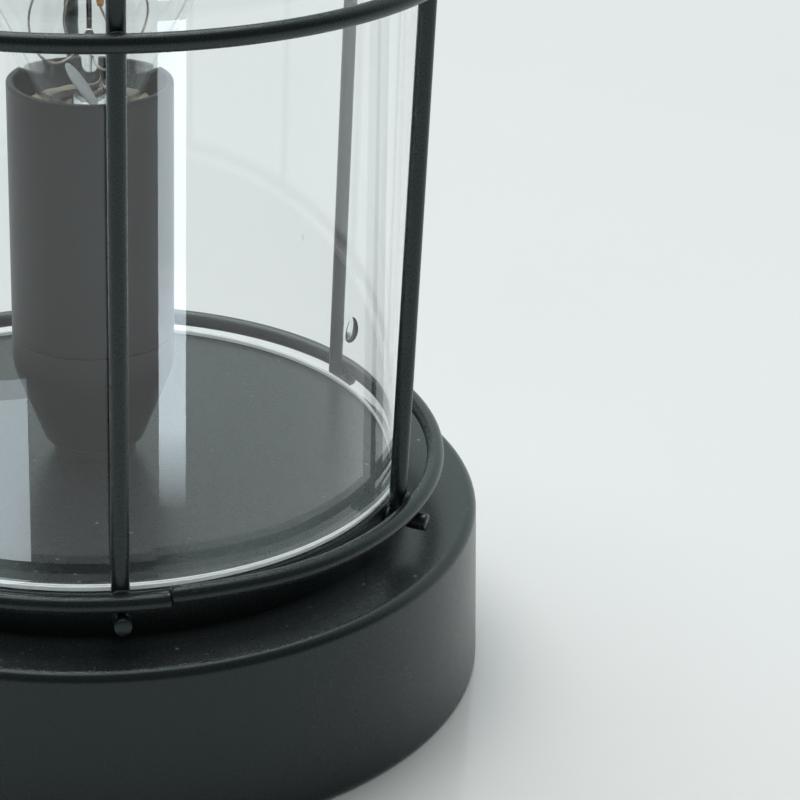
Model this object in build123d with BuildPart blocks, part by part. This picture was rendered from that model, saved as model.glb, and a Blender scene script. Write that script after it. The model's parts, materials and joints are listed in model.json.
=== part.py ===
from build123d import *
import os
from math import asin, atan2, cos, degrees, hypot, radians, sin, sqrt, tan

# A lantern table lamp. A round weighted base carries a raised platform, a clear glass cylinder stands on
# the platform, a welded wire cage goes round the glass, and an E14 lampholder with a clear
# filament bulb stands in the middle. Millimetres, +Z up, origin on the table under the middle, front is -Y.

# Base shell: a drafted drum with a ledge and a raised platform
base_bottom_radius = 69.0
base_draft = 1.2
base_wall = 2.0
table_gap = 0.8
ledge_height = 30.7
edge_round = 1.8
platform_rise = 7.7
platform_thickness = 4.0
platform_round = 0.6
platform_lip = 0.6

# Glass cylinder: it stands on the platform, and the wires keep it in place
glass_outer_radius = 54.9
glass_wall = 2.3
glass_length = 176.8
glass_edge_round = 0.6

# Wire cage
wire_diameter = 3.0
wire_count = 6
first_wire_angle = 3.0
cage_lean = 1.36
weld_gap = 0.1
stub_height = 5.3
stub_length = 5.6
ring_spacing = 92.8
ring_joint_angle = 10.4
ring_joint_step = 0.8
ring_joint_width = 0.3
ring_rise_angle = 32.0

# Parts under and inside the base
foot_radius = 6.0
foot_height = 2.0
foot_circle = 44.0
foot_count = 4
plate_thickness = 1.5
plate_clearance = 0.4
post_radius = 4.0
post_inset = 2.15
post_count = 3
ballast_gap = 5.65
ballast_bore_radius = 18.0
ballast_height = 12.0
screw_radius = 2.0
screw_head_radius = 3.6
screw_head_height = 1.3
screw_length = 9.0
snug_gap = 0.05
inlet_height = 12.0
inlet_bore_radius = 3.2
grommet_wall = 1.8
grommet_lip = 2.0
grommet_lip_thickness = 1.5
block_width = 16.0
block_depth = 12.0
block_height = 9.0
block_wire_radius = 1.5
block_pitch = 8.0
clamp_screw_radius = 1.3
block_screw_radius = 1.5

# Threaded tube that holds the lampholder to the platform
nipple_radius = 5.0
nipple_bore_radius = 3.6
nipple_clearance = 0.1
nipple_overhang = 2.0
washer_radius = 9.0
washer_thickness = 1.0
nut_flat_radius = 7.0
nut_height = 4.0
spacer_radius = 7.2
spacer_thickness = 1.6

# Lampholder
holder_radius = 14.0
cap_height = 21.3
cap_foot_radius = 7.4
cap_straight = 6.1
cap_bend_round = 12.0
cap_wall = 1.8
cap_floor = 3.0
sleeve_length = 45.1
sleeve_wall = 1.7
spigot_length = 3.2
sleeve_rim_round = 0.5
holder_fit = 0.1
shelf_width = 1.6
core_drop = 33.4
core_flange = 3.0
core_floor_thickness = 4.0
core_depth = 17.0
core_boss = 7.0
shell_wall = 0.3
shell_length = 16.0
shell_hole_radius = 4.0
thread_play = 0.25
contact_crest = 2.2
contact_strip = 0.4
contact_width = 3.0
contact_gap = 0.2
terminal_radius = 1.2
terminal_reach = 3.0
lead_radius = 0.9
lead_offset = 1.4

# Bulb
bulb_length = 79.0
globe_radius = 22.5
bulb_neck_radius = 10.4
bulb_neck_height = 26.9
bulb_glass_wall = 0.8
bulb_cap_radius = 6.85
bulb_cap_wall = 0.35
bulb_cap_top = 22.5
bulb_tip_radius = 2.3
bulb_tip_height = 1.4
bulb_insulator_height = 2.5
bulb_seal_length = 3.0
bulb_seal_gap = 0.3
stem_radius = 2.0
stem_rod_radius = 0.8
stem_height = 34.0
filament_count = 4
filament_radius = 0.8
filament_circle = 8.9
filament_top_circle = 5.0
filament_bottom = 42.5
filament_top = 66.0
filament_turn = 11.0
support_radius = 0.25

# Heights that follow from the sizes above
wire_radius = wire_diameter / 2
platform_radius = glass_outer_radius + platform_lip
platform_top = ledge_height + platform_rise
platform_underside = platform_top - platform_thickness
plate_top = foot_height + plate_thickness
ledge_underside = ledge_height - base_wall
ballast_top = plate_top + ballast_height
cap_bottom = platform_top + spacer_thickness
cap_floor_top = cap_bottom + cap_floor
seam_height = cap_bottom + cap_height
rim_height = seam_height + sleeve_length
sleeve_inner_radius = holder_radius - sleeve_wall
cap_inner_radius = holder_radius - cap_wall
shelf_radius = sleeve_inner_radius - shelf_width
core_seat = rim_height - core_drop
core_floor = core_seat + core_floor_thickness
core_top = core_floor + core_depth
shell_inner_radius = bulb_cap_radius + thread_play
shell_outer_radius = shell_inner_radius + shell_wall
tip_bottom = core_floor + contact_crest + contact_gap
washer_bottom = platform_underside - washer_thickness
nut_bottom = washer_bottom - nut_height
nipple_bottom = nut_bottom - nipple_overhang
nipple_top = cap_floor_top + nipple_overhang
nipple_hole_radius = nipple_radius + nipple_clearance


def side_radius(height):
    """Outer radius of the drafted base side at a height."""
    return base_bottom_radius - base_draft * (height - table_gap) / (ledge_height - table_gap)


def wire_axis_radius(height):
    """Distance of a leaning cage wire's axis from the lamp's axis at a height."""
    foot = platform_radius + wire_radius + weld_gap
    return foot + (height - stub_level) * tan(radians(cage_lean))


def ring_radius(height):
    """Radius of a ring that lies against the outside of the leaning wires."""
    return wire_axis_radius(height) + bend_radius / cos(radians(cage_lean))


def rim_edges(piece, radius, height):
    """Circular edges of a turned piece with this radius at this height."""
    circles = piece.edges().filter_by(GeomType.CIRCLE)
    return [e for e in circles if abs(e.radius - radius) < 0.01 and abs(e.arc_center.Z - height) < 0.01]


# Base shell
ledge_width = side_radius(ledge_height) - platform_radius
post_circle = side_radius(ledge_height) - base_wall - post_inset - post_radius
ballast_radius = post_circle - post_radius - ballast_gap

with BuildPart() as base_shell:
    with BuildSketch(Plane.XZ):
        with BuildLine():
            Polyline(
                (base_bottom_radius, table_gap),
                (side_radius(ledge_height), ledge_height),
                (platform_radius, ledge_height),
                (platform_radius, platform_top),
                (nipple_hole_radius, platform_top),
                (nipple_hole_radius, platform_underside),
                (platform_radius - base_wall, platform_underside),
                (platform_radius - base_wall, ledge_underside),
                (side_radius(ledge_height) - base_wall, ledge_underside),
                (base_bottom_radius - base_wall, table_gap),
                close=True,
            )
        make_face()
    revolve(axis=Axis.Z)
    fillet(rim_edges(base_shell, side_radius(ledge_height), ledge_height), min(edge_round, ledge_width / 3))
    fillet(rim_edges(base_shell, platform_radius, platform_top), platform_round)
    with BuildSketch(Plane.XZ.offset(-ballast_radius)):
        with Locations((0, inlet_height)):
            Circle(inlet_bore_radius + grommet_wall + snug_gap)
    extrude(amount=-base_bottom_radius, mode=Mode.SUBTRACT)

# Bottom cover, with the screws that hold it to three posts and to the ballast
plate_radius = side_radius(plate_top) - base_wall - plate_clearance
post_places = PolarLocations(post_circle, post_count, start_angle=30)
ballast_screw_circle = (ballast_radius + ballast_bore_radius) / 2
ballast_places = PolarLocations(ballast_screw_circle, 2)
screw_hole_radius = screw_radius + snug_gap

with BuildPart() as base_plate:
    with BuildSketch(Plane.XY.offset(foot_height)):
        Circle(plate_radius)
        with post_places:
            Circle(screw_hole_radius, mode=Mode.SUBTRACT)
        with ballast_places:
            Circle(screw_hole_radius, mode=Mode.SUBTRACT)
    extrude(amount=plate_thickness)

with BuildPart() as plate_posts:
    with BuildSketch(Plane.XY.offset(plate_top)):
        with post_places:
            Circle(post_radius)
            Circle(screw_hole_radius, mode=Mode.SUBTRACT)
    extrude(amount=ledge_underside - plate_top)

with BuildPart() as plate_screws:
    with BuildSketch(Plane.XY.offset(foot_height)):
        with post_places:
            Circle(screw_head_radius)
        with ballast_places:
            Circle(screw_head_radius)
    extrude(amount=-screw_head_height)
    with BuildSketch(Plane.XY.offset(foot_height)):
        with post_places:
            Circle(screw_radius)
        with ballast_places:
            Circle(screw_radius)
    extrude(amount=screw_length)

with BuildPart() as rubber_feet:
    with BuildSketch():
        with PolarLocations(foot_circle, foot_count, start_angle=45):
            Circle(foot_radius)
    extrude(amount=foot_height)

with BuildPart() as ballast_ring:
    with BuildSketch(Plane.XY.offset(plate_top)):
        Circle(ballast_radius)
        Circle(ballast_bore_radius, mode=Mode.SUBTRACT)
        with ballast_places:
            Circle(screw_hole_radius, mode=Mode.SUBTRACT)
    extrude(amount=ballast_height)

# Cord inlet at the back: a rubber grommet with a lip on each side of the wall
grommet_radius = inlet_bore_radius + grommet_wall
grommet_lip_radius = grommet_radius + grommet_lip
lip_outer_face = side_radius(inlet_height - grommet_lip_radius) + snug_gap
lip_inner_wall = side_radius(inlet_height + grommet_lip_radius) - base_wall
lip_inner_face = sqrt(lip_inner_wall**2 - grommet_lip_radius**2) - snug_gap
grommet_plane = Plane(origin=(0, lip_inner_face, inlet_height), x_dir=(1, 0, 0), z_dir=(0, 1, 0))

with BuildPart() as cord_grommet:
    with BuildSketch(grommet_plane.offset(-grommet_lip_thickness)):
        Circle(grommet_lip_radius)
    extrude(amount=grommet_lip_thickness)
    with BuildSketch(grommet_plane):
        Circle(grommet_radius)
    extrude(amount=lip_outer_face - lip_inner_face)
    with BuildSketch(grommet_plane.offset(lip_outer_face - lip_inner_face)):
        Circle(grommet_lip_radius)
    extrude(amount=grommet_lip_thickness, taper=12)
    with BuildSketch(grommet_plane.offset(-grommet_lip_thickness)):
        Circle(inlet_bore_radius)
    extrude(amount=lip_outer_face - lip_inner_face + 2 * grommet_lip_thickness, mode=Mode.SUBTRACT)

# Terminal block on the ballast, behind the middle
block_y = ballast_screw_circle
block_front = block_y - block_depth / 2
block_wire_height = ballast_top + block_height / 2
clamp_places = [(-block_pitch / 2, block_y), (block_pitch / 2, block_y)]

with BuildPart() as terminal_block:
    with BuildSketch(Plane.XY.offset(ballast_top)):
        with Locations((0, block_y)):
            RectangleRounded(block_width, block_depth, 1.0)
    extrude(amount=block_height)
    with BuildSketch(Plane.XZ.offset(-block_front)):
        with Locations((-block_pitch / 2, block_wire_height), (block_pitch / 2, block_wire_height)):
            Circle(block_wire_radius)
    extrude(amount=-block_depth, mode=Mode.SUBTRACT)
    with BuildSketch(Plane.XY.offset(block_wire_height)):
        with Locations(*clamp_places):
            Circle(clamp_screw_radius + snug_gap)
    extrude(amount=block_height, mode=Mode.SUBTRACT)
    with BuildSketch(Plane.XY.offset(ballast_top)):
        with Locations((0, block_y)):
            Circle(block_screw_radius + snug_gap)
    extrude(amount=block_height, mode=Mode.SUBTRACT)

with BuildPart() as clamp_screws:
    with BuildSketch(Plane.XY.offset(block_wire_height + lead_radius)):
        with Locations(*clamp_places):
            Circle(clamp_screw_radius)
    extrude(amount=block_height / 2 - lead_radius)

with BuildPart() as block_screw:
    with BuildSketch(Plane.XY.offset(ballast_top)):
        with Locations((0, block_y)):
            Circle(block_screw_radius)
    extrude(amount=block_height)
    with BuildSketch(Plane.XY.offset(ballast_top + block_height)):
        with Locations((0, block_y)):
            Circle(2 * block_screw_radius)
    extrude(amount=block_screw_radius)

# Threaded tube, washer, lock nut and spacer
with BuildPart() as threaded_tube:
    with BuildSketch(Plane.XY.offset(nipple_bottom)):
        Circle(nipple_radius)
        Circle(nipple_bore_radius, mode=Mode.SUBTRACT)
    extrude(amount=nipple_top - nipple_bottom)

with BuildPart() as toothed_washer:
    with BuildSketch(Plane.XY.offset(washer_bottom)):
        Circle(washer_radius)
        with PolarLocations(washer_radius, 12):
            Circle(washer_radius / 12, mode=Mode.SUBTRACT)
        Circle(nipple_hole_radius, mode=Mode.SUBTRACT)
    extrude(amount=washer_thickness)

with BuildPart() as lock_nut:
    with BuildSketch(Plane.XY.offset(nut_bottom)):
        RegularPolygon(nut_flat_radius, 6, major_radius=False)
        Circle(nipple_radius + snug_gap, mode=Mode.SUBTRACT)
    extrude(amount=nut_height)

with BuildPart() as spacer_ring:
    with BuildSketch(Plane.XY.offset(platform_top)):
        Circle(spacer_radius)
        Circle(nipple_hole_radius, mode=Mode.SUBTRACT)
    extrude(amount=spacer_thickness)

# Lampholder: a cap that tapers to its foot, a plain sleeve, and the core that carries the contacts
cap_bend = seam_height - cap_straight

with BuildPart() as holder_cap:
    with BuildSketch(Plane.XZ):
        with BuildLine():
            Polyline(
                (0, cap_bottom),
                (cap_foot_radius, cap_bottom),
                (holder_radius, cap_bend),
                (holder_radius, seam_height),
                (0, seam_height),
                close=True,
            )
        make_face()
    revolve(axis=Axis.Z)
    fillet(rim_edges(holder_cap, holder_radius, cap_bend), cap_bend_round)
    with BuildSketch(Plane.XZ):
        with BuildLine():
            Polyline(
                (0, cap_floor_top),
                (cap_foot_radius - cap_wall / 2, cap_floor_top),
                (cap_inner_radius, cap_bend),
                (cap_inner_radius, seam_height),
                (0, seam_height),
                close=True,
            )
        make_face()
    revolve(axis=Axis.Z, mode=Mode.SUBTRACT)
    with BuildSketch(Plane.XY.offset(cap_bottom)):
        Circle(nipple_radius + snug_gap)
    extrude(amount=cap_floor, mode=Mode.SUBTRACT)

spigot_bottom = seam_height - spigot_length
spigot_radius = cap_inner_radius - holder_fit

with BuildPart() as holder_sleeve:
    with BuildSketch(Plane.XZ):
        with BuildLine():
            Polyline(
                (holder_radius, seam_height),
                (holder_radius, rim_height),
                (sleeve_inner_radius, rim_height),
                (sleeve_inner_radius, core_seat),
                (shelf_radius, core_seat),
                (shelf_radius, spigot_bottom),
                (spigot_radius, spigot_bottom),
                (spigot_radius, seam_height),
                close=True,
            )
        make_face()
    revolve(axis=Axis.Z)
    fillet(rim_edges(holder_sleeve, holder_radius, rim_height), sleeve_rim_round)

terminal_x = (shell_hole_radius + shell_outer_radius) / 2
contact_post_x = -shell_hole_radius / 2
terminal_places = [(terminal_x, 0), (contact_post_x, 0)]
core_bottom = core_seat - core_boss

with BuildPart() as holder_core:
    with BuildSketch(Plane.XY.offset(core_bottom)):
        Circle(shelf_radius - 3 * holder_fit)
    extrude(amount=core_boss)
    with BuildSketch(Plane.XY.offset(core_seat)):
        Circle(sleeve_inner_radius - holder_fit)
    extrude(amount=core_flange)
    with BuildSketch(Plane.XY.offset(core_seat)):
        Circle(sleeve_inner_radius - core_flange / 2)
    extrude(amount=core_top - core_seat)
    with BuildSketch(Plane.XY.offset(core_floor)):
        Circle(shell_outer_radius + snug_gap)
    extrude(amount=core_depth, mode=Mode.SUBTRACT)
    with BuildSketch(Plane.XY.offset(core_bottom)):
        with Locations(*terminal_places):
            Circle(terminal_radius + snug_gap)
    extrude(amount=core_floor - core_bottom, mode=Mode.SUBTRACT)

with BuildPart() as thread_shell:
    with BuildSketch(Plane.XY.offset(core_floor)):
        Circle(shell_outer_radius)
        Circle(shell_hole_radius, mode=Mode.SUBTRACT)
    extrude(amount=shell_wall)
    with BuildSketch(Plane.XY.offset(core_floor)):
        Circle(shell_outer_radius)
        Circle(shell_inner_radius, mode=Mode.SUBTRACT)
    extrude(amount=shell_length)

# Spring tongue: a flat foot on the core's floor, a bend and a raised crest under the bulb's tip
with BuildPart() as centre_contact:
    with BuildSketch(Plane.XZ):
        with BuildLine():
            foot_line = core_floor + contact_strip / 2
            crest_line = core_floor + contact_crest - contact_strip / 2
            reach = shell_hole_radius - contact_strip - contact_width / 4
            Polyline(
                (-reach, foot_line),
                (contact_post_x / 2, foot_line),
                (0, crest_line),
                (reach / 2, crest_line),
            )
        trace(line_width=contact_strip)
    extrude(amount=contact_width / 2, both=True)

with BuildPart() as terminal_posts:
    with BuildSketch(Plane.XY.offset(core_bottom - terminal_reach)):
        with Locations(*terminal_places):
            Circle(terminal_radius)
    extrude(amount=core_floor - core_bottom + terminal_reach)


def lead_path(post_x, side):
    """Points of an inner lead: from a terminal post, down the threaded tube, back to the terminal block."""
    start = core_bottom - terminal_reach - weld_gap
    offset = side * lead_offset
    return [
        (post_x, 0, start),
        (offset, 0, nipple_top + nipple_overhang),
        (offset, 0, nipple_bottom),
        (side * block_pitch / 2, block_front, block_wire_height),
        (side * block_pitch / 2, block_y, block_wire_height),
    ]


def lead_line(post_x, side):
    """The lead's centre line, with straight ends at its post, in its tube and in its clamp."""
    post, tube_top, tube_bottom, block_mouth, block_end = lead_path(post_x, side)
    down = (0, 0, -1)
    Spline(post, tube_top, tangents=[down, down])
    Line(tube_top, tube_bottom)
    Spline(tube_bottom, block_mouth, tangents=[down, (0, 1, 0)])
    Line(block_mouth, block_end)


with BuildPart() as lead_live:
    with BuildLine():
        lead_line(contact_post_x, -1)
    with BuildSketch(Plane(lead_path(contact_post_x, -1)[0], z_dir=(0, 0, -1))):
        Circle(lead_radius)
    sweep()

with BuildPart() as lead_neutral:
    with BuildLine():
        lead_line(terminal_x, 1)
    with BuildSketch(Plane(lead_path(terminal_x, 1)[0], z_dir=(0, 0, -1))):
        Circle(lead_radius)
    sweep()

# Bulb: tip contact, insulator, screw cap, driver, glass globe, stem, filaments and their wires
insulator_bottom = tip_bottom + bulb_tip_height
screw_cap_bottom = insulator_bottom + bulb_insulator_height
screw_cap_top = tip_bottom + bulb_cap_top
neck_height = tip_bottom + bulb_neck_height
globe_height = tip_bottom + bulb_length - globe_radius
screw_cap_inner = bulb_cap_radius - bulb_cap_wall
seal_radius = screw_cap_inner - bulb_seal_gap
seal_bottom = screw_cap_top - bulb_seal_length

with BuildPart() as bulb_tip:
    with BuildSketch(Plane.XY.offset(tip_bottom)):
        Circle(bulb_tip_radius)
    extrude(amount=bulb_tip_height)
    fillet(rim_edges(bulb_tip, bulb_tip_radius, tip_bottom), bulb_tip_height / 2)

with BuildPart() as bulb_insulator:
    with BuildSketch(Plane.XZ):
        with BuildLine():
            Polyline(
                (0, insulator_bottom),
                (bulb_tip_radius + bulb_tip_height, insulator_bottom),
                (screw_cap_inner, screw_cap_bottom),
                (0, screw_cap_bottom),
                close=True,
            )
        make_face()
    revolve(axis=Axis.Z)

with BuildPart() as bulb_screw_cap:
    with BuildSketch(Plane.XY.offset(screw_cap_bottom)):
        Circle(bulb_cap_radius)
    extrude(amount=screw_cap_top - screw_cap_bottom)
    with BuildSketch(Plane.XY.offset(screw_cap_bottom + bulb_cap_wall)):
        Circle(screw_cap_inner)
    extrude(amount=screw_cap_top - screw_cap_bottom, mode=Mode.SUBTRACT)

with BuildPart() as bulb_driver:
    with BuildSketch(Plane.XY.offset(screw_cap_bottom + bulb_cap_wall)):
        Circle(seal_radius)
    extrude(amount=seal_bottom - screw_cap_bottom - bulb_cap_wall - bulb_seal_gap)


def globe_outline(inset):
    """Half outline of the bulb's glass: seal tube, flared neck, cone tangent to the globe, and globe."""
    ball = globe_radius - inset
    neck = bulb_neck_radius - inset
    tube = seal_radius - inset
    rise = globe_height - neck_height
    cone = degrees(asin(ball / hypot(neck, rise)) - atan2(neck, rise))
    cone_end = (ball * cos(radians(cone)), globe_height - ball * sin(radians(cone)))
    cone_way = (sin(radians(cone)), cos(radians(cone)))
    Polyline((0, globe_height + ball), (0, seal_bottom), (tube, seal_bottom), (tube, screw_cap_top))
    Spline((tube, screw_cap_top), (neck, neck_height), tangents=[(1, 1), cone_way])
    Line((neck, neck_height), cone_end)
    CenterArc((0, globe_height), ball, -cone, 90 + cone)


with BuildPart() as bulb_globe:
    with BuildSketch(Plane.XZ):
        with BuildLine():
            globe_outline(0)
        make_face()
    revolve(axis=Axis.Z)
    with BuildSketch(Plane.XZ):
        with BuildLine():
            globe_outline(bulb_glass_wall)
        make_face()
    revolve(axis=Axis.Z, mode=Mode.SUBTRACT)

filament_foot = tip_bottom + filament_bottom
filament_head = tip_bottom + filament_top
stem_top = tip_bottom + stem_height
rod_top = filament_head + stem_rod_radius

with BuildPart() as bulb_stem:
    with BuildSketch(Plane.XZ):
        with BuildLine():
            Polyline(
                (0, seal_bottom),
                (seal_radius - bulb_glass_wall - bulb_seal_gap / 2, seal_bottom),
                (seal_radius - bulb_glass_wall - bulb_seal_gap / 2, screw_cap_top),
                (stem_radius, neck_height),
                (stem_radius, stem_top),
                (stem_rod_radius, stem_top + stem_radius),
                (stem_rod_radius, rod_top),
                (0, rod_top),
                close=True,
            )
        make_face()
    revolve(axis=Axis.Z)


def around(angle, radius, height):
    """Point at an angle from the front, a radius and a height."""
    return Vector(radius * sin(radians(angle)), -radius * cos(radians(angle)), height)


filament_angles = [filament_turn + 360 / filament_count * i for i in range(filament_count)]

with BuildPart() as filaments:
    for angle in filament_angles:
        foot = around(angle, filament_circle, filament_foot)
        head = around(angle, filament_top_circle, filament_head)
        with BuildSketch(Plane(foot, z_dir=head - foot)):
            Circle(filament_radius)
        extrude(amount=(head - foot).length)

# Support wires: from the stem up to each filament's foot, and from the rod to each filament's head
wire_start = stem_radius + support_radius + weld_gap
head_start = stem_rod_radius + support_radius + weld_gap

with BuildPart() as support_wires:
    for angle in filament_angles:
        out = around(angle, 1, 0)
        stem_point = around(angle, wire_start, stem_top - stem_radius)
        foot_point = around(angle, filament_circle, filament_foot - weld_gap)
        with BuildLine():
            Spline(stem_point, foot_point, tangents=[out, (0, 0, 1)])
        with BuildSketch(Plane(stem_point, z_dir=out)):
            RegularPolygon(support_radius, 6)
        sweep()
        rod_point = around(angle, head_start, filament_head + filament_radius)
        head_point = around(angle, filament_top_circle, filament_head + filament_radius)
        with BuildSketch(Plane(rod_point, z_dir=out)):
            RegularPolygon(support_radius, 6)
        extrude(amount=(head_point - rod_point).length)

# Glass cylinder with fire-polished edges
with BuildPart() as glass_cylinder:
    with BuildSketch(Plane.XY.offset(platform_top)):
        Circle(glass_outer_radius)
        Circle(glass_outer_radius - glass_wall, mode=Mode.SUBTRACT)
    extrude(amount=glass_length)
    fillet(glass_cylinder.edges().filter_by(GeomType.CIRCLE), glass_edge_round)

# Wire cage: each wire leans out a little and ends below in a tight bend that the lowest ring nests in
bend_radius = wire_diameter + weld_gap
stub_level = ledge_height + stub_height
lower_ring_height = stub_level + bend_radius
ring_heights = {
    "cage_ring_lower": lower_ring_height,
    "cage_ring_middle": lower_ring_height + ring_spacing,
    "cage_ring_top": lower_ring_height + 2 * ring_spacing,
}
wire_top = ring_heights["cage_ring_top"] + wire_radius
stub_end = wire_axis_radius(stub_level) + stub_length


def cage_wire(angle):
    """One cage wire at an angle from the front: stub, bend and leaning rod."""
    upright = Plane(origin=(0, 0, 0), x_dir=around(angle, 1, 0), z_dir=around(angle + 90, -1, 0))
    with BuildPart() as wire:
        with BuildLine(upright):
            FilletPolyline(
                (stub_end, stub_level),
                (wire_axis_radius(stub_level), stub_level),
                (wire_axis_radius(wire_top), wire_top),
                radius=bend_radius,
            )
        with BuildSketch(Plane(around(angle, stub_end, stub_level), z_dir=around(angle, -1, 0))):
            Circle(wire_radius)
        sweep()
    return wire


cage_wires = {
    f"cage_wire_{i + 1}": cage_wire(first_wire_angle + 360 / wire_count * i) for i in range(wire_count)
}


def closed_ring(height):
    """A ring whose ends are welded flush."""
    with BuildPart() as ring:
        with Locations((0, 0, height)):
            Torus(ring_radius(height), wire_radius)
    return ring


def open_ring(height):
    """A ring whose two ends meet at the front with a small step, as the wire was left when it was cut."""
    radius = ring_radius(height)
    joint_half = degrees(ring_joint_width / radius) / 2
    low_end = ring_joint_angle - joint_half
    high_end = ring_joint_angle + joint_half
    rise_start = high_end + ring_rise_angle
    turn = 360 - (rise_start - low_end)
    with BuildPart() as ring:
        with BuildLine():
            CenterArc((0, 0, height), radius, low_end - 90, -turn)
            Spline(
                around(rise_start, radius, height),
                around(high_end + ring_rise_angle / 2, radius, height + ring_joint_step / 2),
                around(high_end, radius, height + ring_joint_step),
                tangents=[around(rise_start - 90, 1, 0), around(high_end - 90, 1, 0)],
            )
        with BuildSketch(Plane(around(low_end, radius, height), z_dir=around(low_end - 90, 1, 0))):
            Circle(wire_radius)
        sweep()
    return ring


cage_rings = {
    name: open_ring(height) if name == "cage_ring_lower" else closed_ring(height)
    for name, height in ring_heights.items()
}

pieces = {
    "base_shell": base_shell,
    "base_plate": base_plate,
    "plate_posts": plate_posts,
    "plate_screws": plate_screws,
    "rubber_feet": rubber_feet,
    "ballast_ring": ballast_ring,
    "cord_grommet": cord_grommet,
    "terminal_block": terminal_block,
    "clamp_screws": clamp_screws,
    "block_screw": block_screw,
    "threaded_tube": threaded_tube,
    "toothed_washer": toothed_washer,
    "lock_nut": lock_nut,
    "spacer_ring": spacer_ring,
    "holder_cap": holder_cap,
    "holder_sleeve": holder_sleeve,
    "holder_core": holder_core,
    "thread_shell": thread_shell,
    "centre_contact": centre_contact,
    "terminal_posts": terminal_posts,
    "lead_live": lead_live,
    "lead_neutral": lead_neutral,
    "bulb_tip": bulb_tip,
    "bulb_insulator": bulb_insulator,
    "bulb_screw_cap": bulb_screw_cap,
    "bulb_driver": bulb_driver,
    "bulb_globe": bulb_globe,
    "bulb_stem": bulb_stem,
    "filaments": filaments,
    "support_wires": support_wires,
    "glass_cylinder": glass_cylinder,
    **cage_wires,
    **cage_rings,
}

os.makedirs("parts", exist_ok=True)
for name, piece in pieces.items():
    piece.part.label = name
    export_step(piece.part, f"parts/{name}.step")
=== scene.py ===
import json
from math import cos, pi, radians, sin, tan, tau

import bmesh
import bpy
from mathutils import Matrix, Vector


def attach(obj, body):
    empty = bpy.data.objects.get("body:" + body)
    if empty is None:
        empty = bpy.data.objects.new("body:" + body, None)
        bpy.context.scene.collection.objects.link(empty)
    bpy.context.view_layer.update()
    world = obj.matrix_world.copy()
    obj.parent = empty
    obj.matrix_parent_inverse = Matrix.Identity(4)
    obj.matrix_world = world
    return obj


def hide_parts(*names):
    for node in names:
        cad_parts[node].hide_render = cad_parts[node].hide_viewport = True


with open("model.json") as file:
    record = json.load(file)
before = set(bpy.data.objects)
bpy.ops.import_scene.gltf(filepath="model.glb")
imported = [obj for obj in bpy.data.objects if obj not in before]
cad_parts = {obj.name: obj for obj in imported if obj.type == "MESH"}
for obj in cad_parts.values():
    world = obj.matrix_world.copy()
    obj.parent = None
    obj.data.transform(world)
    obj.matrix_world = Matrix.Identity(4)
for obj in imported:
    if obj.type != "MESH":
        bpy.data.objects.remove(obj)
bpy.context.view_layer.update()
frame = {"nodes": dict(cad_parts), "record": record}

MM = 0.001

# Sizes in millimetres, as the solids have them, and of the finer shapes that are made here
BASE_R, BASE_BOTTOM, BASE_WALL, BASE_EDGE = 69.0, 0.8, 2.0, 0.4
LEDGE_R, LEDGE_Z, LEDGE_ROUND = 67.8, 30.7, 1.8
PLATFORM_Z, PLATFORM_R, PLATFORM_ROUND, PLATFORM_DEPTH, TUBE_HOLE_R = 38.4, 55.5, 0.6, 4.0, 5.1
INLET_Z, INLET_R, INLET_DEPTH = 12.0, 5.05, 20.0
GLASS_R, GLASS_WALL, GLASS_BOTTOM, GLASS_TOP, GLASS_ROUND = 54.9, 2.3, 38.4, 215.2, 0.6
SEAT_PLAY = 0.05
ARRIS_HALF, ARRIS_INSET, ARRIS_LOW, ARRIS_HIGH = 0.28, 0.6, 0.1, 0.9
ARRIS_FOOT_ROUND, ARRIS_TOP_ROUND = 0.12, 0.2
WIRE_R, WIRE_COUNT, WIRE_FIRST, WIRE_LEAN = 1.5, 6, radians(3.0), radians(1.36)
WIRE_SIDES, BEND_STEPS, WIRE_STEPS, HOOP_STEPS = 28, 18, 24, 240
WELD_GAP, STUB_Z, STUB_LENGTH = 0.1, 36.0, 5.6
BEND_R = 2 * WIRE_R + WELD_GAP
RING_Z = {"lower": 39.1, "middle": 131.9, "top": 224.7}
JOINT_ANGLE, JOINT_STEP, JOINT_WIDTH, JOINT_RISE = radians(10.4), 0.8, 0.05, radians(32.0)
BEAD_SIZE, FOOT_BEAD_SIZE, FOOT_BEAD_OUT, FOOT_BEAD_DOWN = (1.75, 0.75, 1.6), (1.9, 0.9, 1.3), 0.2, 2.2
HOLDER_R, HOLDER_BOTTOM, HOLDER_SEAM, HOLDER_RIM = 14.0, 40.0, 61.3, 106.4
CAP_FOOT_R, CAP_END_R, CAP_END_Z, CAP_BEND_Z, CAP_BEND_ROUND = 7.4, 8.6, 41.4, 55.2, 12.0
CAP_INNER_R, CAP_FLOOR_Z, CAP_FLOOR_R, CAP_BORE_R = 12.2, 43.0, 6.5, 5.05
RIM_INNER_R, RIM_CHAMFER, SEAM_ROUND = 12.9, 1.8, 0.35
SLEEVE_INNER_R, SHELF_R, SHELF_Z, SPIGOT_R, SPIGOT_Z = 12.3, 10.7, 73.0, 12.1, 58.1
SHELL_IN_R, SHELL_OUT_R, SHELL_HOLE_R, SHELL_BOTTOM, SHELL_TOP = 7.1, 7.4, 4.0, 77.0, 93.0
THREAD_PITCH, THREAD_DEPTH, THREAD_RUNOUT, THREAD_BAND = 2.82, 0.42, 1.2, 0.2
CAP_ROWS, SHELL_ROWS = 120, 110
CAP_R, CAP_IN_R, CAP_SHEET, CAP_BOTTOM, CAP_TOP = 6.85, 6.25, 0.35, 83.3, 101.9
PLUG_R, PLUG_HEAD_R, PLUG_TOP = 5.2, 4.2, CAP_TOP + 0.6
FLANGE_IN_R, FLANGE_R, FLANGE_BULGE = 7.3, 10.2, 0.4
STEM_BOTTOM, NECK_Z, STEM_R, STEM_TOP, ROD_R, ROD_TOP = 98.9, 106.3, 2.0, 113.4, 0.5, 146.2
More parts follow.
